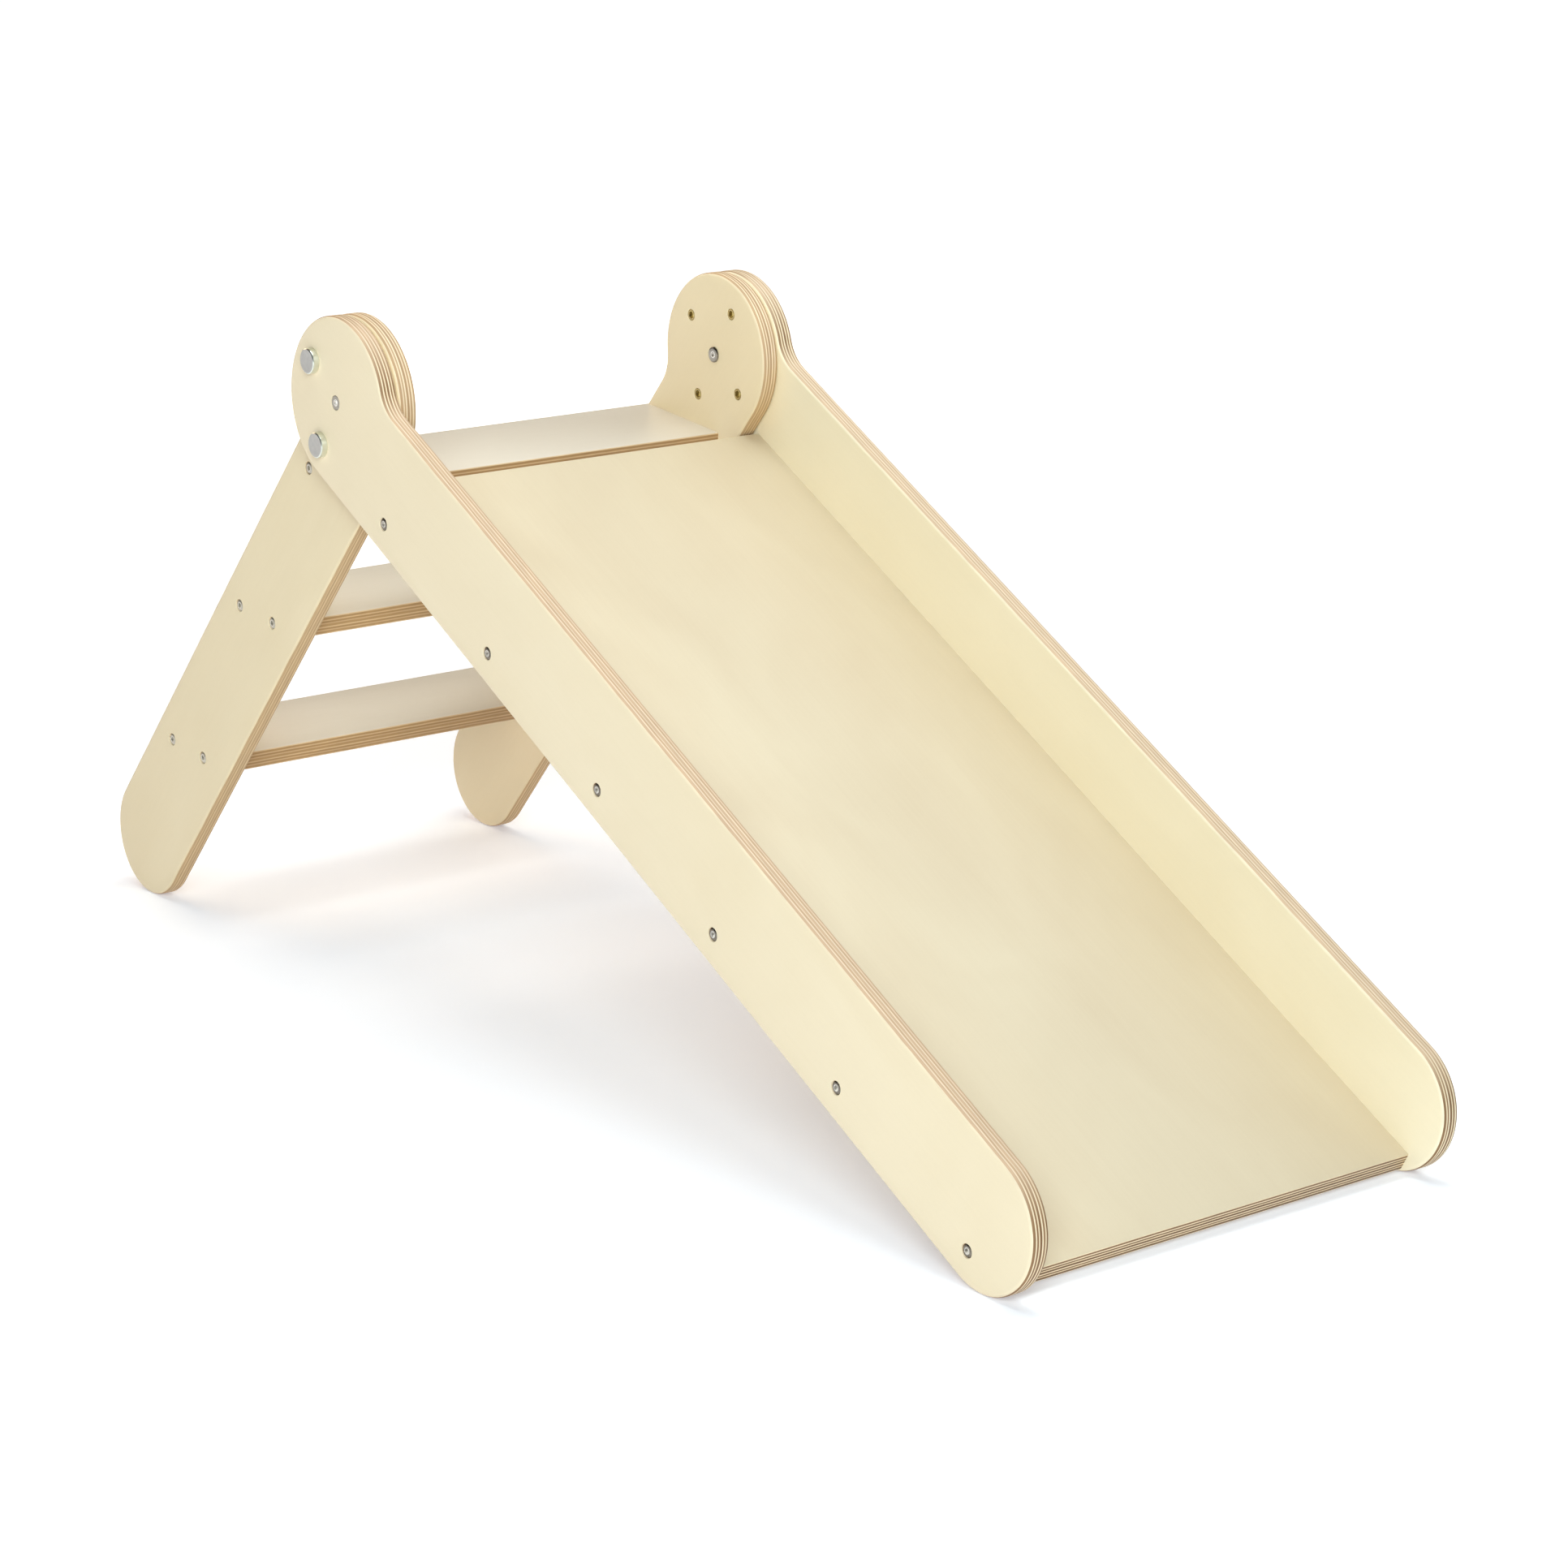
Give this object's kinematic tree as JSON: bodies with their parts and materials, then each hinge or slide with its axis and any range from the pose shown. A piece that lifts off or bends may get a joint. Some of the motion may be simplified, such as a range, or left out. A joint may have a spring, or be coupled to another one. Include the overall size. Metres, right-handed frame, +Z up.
{
  "type": "toddler slide",
  "caption": "Folding indoor toddler slide in birch plywood: a chute frame and a step ladder hinged at round heads, with screw-in locks.",
  "frame": {"origin": "on the floor, in the middle of the footprint", "axes": "+X down the slide, +Y to the left of a child sliding down, +Z up"},
  "size_m": [1.2261, 0.4042, 0.5465],
  "materials": {
    "side_plywood": "clear matt lacquer on birch plywood, bare plies on the edges",
    "deck_plywood": "clear satin lacquer on birch plywood, bare plies on the edges",
    "step_plywood": "clear satin lacquer on birch plywood, bare plies on the edges",
    "screw_steel": "bright zinc plate",
    "pivot_steel": "nickel plate",
    "washer_nylon": "natural nylon",
    "insert_zinc": "yellow passivated zinc",
    "knob_steel": "turned face, polished rim",
    "stud_steel": "zinc plated thread"
  },
  "bodies": {
    "slide": {"slide_side_left": "side_plywood", "slide_side_right": "side_plywood", "slide_deck": "deck_plywood", "deck_screws_left": "screw_steel", "deck_screws_right": "screw_steel", "pivot_bolt_left": "pivot_steel", "pivot_bolt_right": "pivot_steel", "pivot_sleeve_nut_left": "pivot_steel", "pivot_sleeve_nut_right": "pivot_steel", "pivot_washer_left": "washer_nylon", "pivot_washer_right": "washer_nylon"},
    "ladder": {"ladder_side_left": "side_plywood", "ladder_side_right": "side_plywood", "top_step": "step_plywood", "middle_step": "step_plywood", "bottom_step": "step_plywood", "top_step_screws_left": "screw_steel", "top_step_screws_right": "screw_steel", "middle_step_screws_left": "screw_steel", "middle_step_screws_right": "screw_steel", "bottom_step_screws_left": "screw_steel", "bottom_step_screws_right": "screw_steel", "lock_inserts_left": "insert_zinc", "lock_inserts_right": "insert_zinc"},
    "lock_upper_left": {"lock_knob_upper_left": "knob_steel", "lock_stud_upper_left": "stud_steel"},
    "lock_lower_left": {"lock_knob_lower_left": "knob_steel", "lock_stud_lower_left": "stud_steel"},
    "lock_upper_right": {"lock_knob_upper_right": "knob_steel", "lock_stud_upper_right": "stud_steel"},
    "lock_lower_right": {"lock_knob_lower_right": "knob_steel", "lock_stud_lower_right": "stud_steel"}
  },
  "joints": [
    {"name": "ladder_fold", "type": "hinge", "parent": "slide", "child": "ladder", "pos_m": [-0.20843, 0, 0.48], "axis": [0, 1, 0], "range_deg": [0, 256]},
    {"name": "lock_upper_left_pull", "type": "slide", "parent": "slide", "child": "lock_upper_left", "axis": [0, 1, 0], "range_m": [0, 0.022]},
    {"name": "lock_lower_left_pull", "type": "slide", "parent": "slide", "child": "lock_lower_left", "axis": [0, 1, 0], "range_m": [0, 0.022]},
    {"name": "lock_upper_right_pull", "type": "slide", "parent": "slide", "child": "lock_upper_right", "axis": [0, -1, 0], "range_m": [0, 0.022]},
    {"name": "lock_lower_right_pull", "type": "slide", "parent": "slide", "child": "lock_lower_right", "axis": [0, -1, 0], "range_m": [0, 0.022]}
  ]
}
